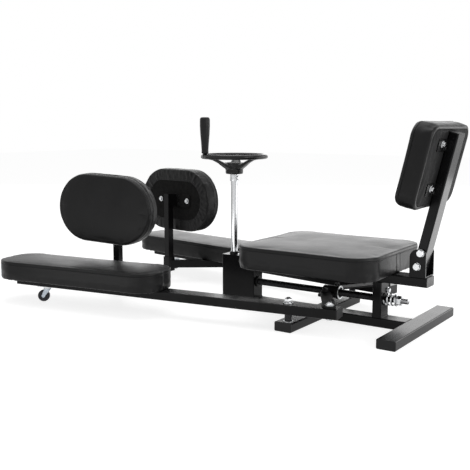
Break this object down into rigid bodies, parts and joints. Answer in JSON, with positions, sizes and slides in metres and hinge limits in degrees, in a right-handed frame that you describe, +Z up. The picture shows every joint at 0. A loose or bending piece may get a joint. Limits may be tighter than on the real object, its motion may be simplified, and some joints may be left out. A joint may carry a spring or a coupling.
{
  "type": "leg stretching machine",
  "caption": "Seated leg stretching machine: a handwheel drives a lead screw that spreads two padded leg arms on casters, with seat, backrest and inner leg pads.",
  "frame": {"origin": "On the floor under the middle of the machine's overall box, with the leg arms at their stored spread.", "axes": "+X runs towards the backrest, -Y is the sitter's left, +Z is up."},
  "size_m": [1.5432, 0.966, 0.66],
  "materials": {
    "black_paint": "satin black powder coat",
    "black_plastic": "moulded black plastic",
    "upholstery": "black artificial leather with a fine grain",
    "plywood": "plywood board under black backing cloth",
    "chrome": "bright chrome plating",
    "zinc": "bright zinc plating",
    "dark_steel": "dark oiled steel",
    "caster_tread": "dark caster tread"
  },
  "bodies": {
    "frame": {"main_beam": "black_paint", "rear_foot": "black_paint", "rear_foot_cap_left": "black_plastic", "rear_foot_cap_right": "black_plastic", "front_foot_left": "black_paint", "front_foot_right": "black_paint", "front_foot_cap_left": "black_plastic", "front_foot_cap_right": "black_plastic", "gear_housing": "black_paint", "shaft_bush": "black_plastic", "screw_bush": "black_plastic", "rear_post": "black_paint", "seat_rail": "black_paint", "seat_rail_cap": "black_plastic", "seat_board": "plywood", "seat_cushion": "upholstery", "back_bracket": "black_paint", "back_bolt_lower": "zinc", "back_bolt_upper": "zinc", "back_upright": "black_paint", "back_upright_cap": "black_plastic", "back_board": "plywood", "back_cushion": "upholstery", "thrust_spring": "dark_steel", "pivot_stud_left": "zinc", "pivot_stud_right": "zinc"},
    "handwheel": {"handwheel": "black_plastic", "wheel_shaft": "chrome", "shaft_collar": "chrome", "bevel_gear_shaft": "dark_steel"},
    "handle_grip": {"handle_grip": "black_plastic"},
    "lead_screw": {"lead_screw": "dark_steel", "bevel_gear_screw": "dark_steel", "spring_washer": "zinc", "lock_nut": "zinc"},
    "travel_nut": {"travel_nut": "dark_steel"},
    "link_left": {"link_left": "black_paint", "link_bolt_left": "zinc"},
    "leg_arm_left": {"leg_arm_left": "black_paint", "leg_arm_cap_left": "black_plastic", "leg_board_left": "plywood", "leg_cushion_left": "upholstery", "caster_plate_left": "zinc"},
    "pad_left": {"pad_post_left": "black_paint", "pad_board_left": "plywood", "pad_cushion_left": "upholstery"},
    "caster_fork_left": {"caster_fork_left": "zinc"},
    "caster_wheel_left": {"caster_wheel_left": "caster_tread"},
    "link_right": {"link_right": "black_paint", "link_bolt_right": "zinc"},
    "leg_arm_right": {"leg_arm_right": "black_paint", "leg_arm_cap_right": "black_plastic", "leg_board_right": "plywood", "leg_cushion_right": "upholstery", "caster_plate_right": "zinc"},
    "pad_right": {"pad_post_right": "black_paint", "pad_board_right": "plywood", "pad_cushion_right": "upholstery"},
    "caster_fork_right": {"caster_fork_right": "zinc"},
    "caster_wheel_right": {"caster_wheel_right": "caster_tread"}
  },
  "joints": [
    {"name": "leg_arm_left_swing", "type": "hinge", "parent": "frame", "child": "leg_arm_left", "pos_m": [0.3221, -0.2247, 0.073], "axis": [0, 0, 1], "range_deg": [-4, 71]},
    {"name": "leg_arm_right_swing", "type": "hinge", "parent": "frame", "child": "leg_arm_right", "pos_m": [0.3221, 0.2247, 0.073], "axis": [0, 0, 1], "range_deg": [-71, 4]},
    {"name": "handwheel_turn", "type": "hinge", "parent": "frame", "child": "handwheel", "pos_m": [-0.0349, 0, 0.524], "axis": [0, 0, 1], "range_deg": [-6857.1, 386.4]},
    {"name": "lead_screw_turn", "type": "hinge", "parent": "frame", "child": "lead_screw", "pos_m": [0.2841, 0, 0.088], "axis": [1, 0, 0], "range_deg": [-386.4, 6857.1]},
    {"name": "travel_nut_slide", "type": "slide", "parent": "frame", "child": "travel_nut", "axis": [1, 0, 0], "range_m": [-0.1905, 0.0108]},
    {"name": "link_left_swing", "type": "hinge", "parent": "travel_nut", "child": "link_left", "pos_m": [0.3541, -0.044, 0.0915], "axis": [0, 0, 1], "range_deg": [-2.42, 42.83]},
    {"name": "link_right_swing", "type": "hinge", "parent": "travel_nut", "child": "link_right", "pos_m": [0.3541, 0.044, 0.0915], "axis": [0, 0, 1], "range_deg": [-42.83, 2.42]},
    {"name": "handle_grip_spin", "type": "hinge", "parent": "handwheel", "child": "handle_grip", "pos_m": [-0.0929, -0.09464, 0.596], "axis": [0, 0, 1], "continuous": true},
    {"name": "caster_left_swivel", "type": "hinge", "parent": "leg_arm_left", "child": "caster_fork_left", "pos_m": [-0.6004, -0.37081, 0.048], "axis": [0, 0, 1], "continuous": true},
    {"name": "caster_left_roll", "type": "hinge", "parent": "caster_fork_left", "child": "caster_wheel_left", "pos_m": [-0.61111, -0.37817, 0.021], "axis": [0.5664, -0.8241, 0], "continuous": true},
    {"name": "pad_left_lift", "type": "slide", "parent": "leg_arm_left", "child": "pad_left", "axis": [0, 0, 1], "range_m": [0, 0.04]},
    {"name": "caster_right_swivel", "type": "hinge", "parent": "leg_arm_right", "child": "caster_fork_right", "pos_m": [-0.6004, 0.37081, 0.048], "axis": [0, 0, 1], "continuous": true},
    {"name": "caster_right_roll", "type": "hinge", "parent": "caster_fork_right", "child": "caster_wheel_right", "pos_m": [-0.61111, 0.37817, 0.021], "axis": [-0.5664, -0.8241, 0], "continuous": true},
    {"name": "pad_right_lift", "type": "slide", "parent": "leg_arm_right", "child": "pad_right", "axis": [0, 0, 1], "range_m": [0, 0.04]}
  ],
  "couplings": [
    {"joint": "leg_arm_right_swing", "follows": "leg_arm_left_swing", "ratio": -1},
    {"joint": "handwheel_turn", "follows": "leg_arm_left_swing", "ratio": -96.578},
    {"joint": "lead_screw_turn", "follows": "leg_arm_left_swing", "ratio": 96.578},
    {"joint": "travel_nut_slide", "follows": "leg_arm_left_swing", "m_per_rad": -0.15371},
    {"joint": "link_left_swing", "follows": "leg_arm_left_swing", "ratio": 0.60321},
    {"joint": "link_right_swing", "follows": "leg_arm_left_swing", "ratio": -0.60321}
  ]
}
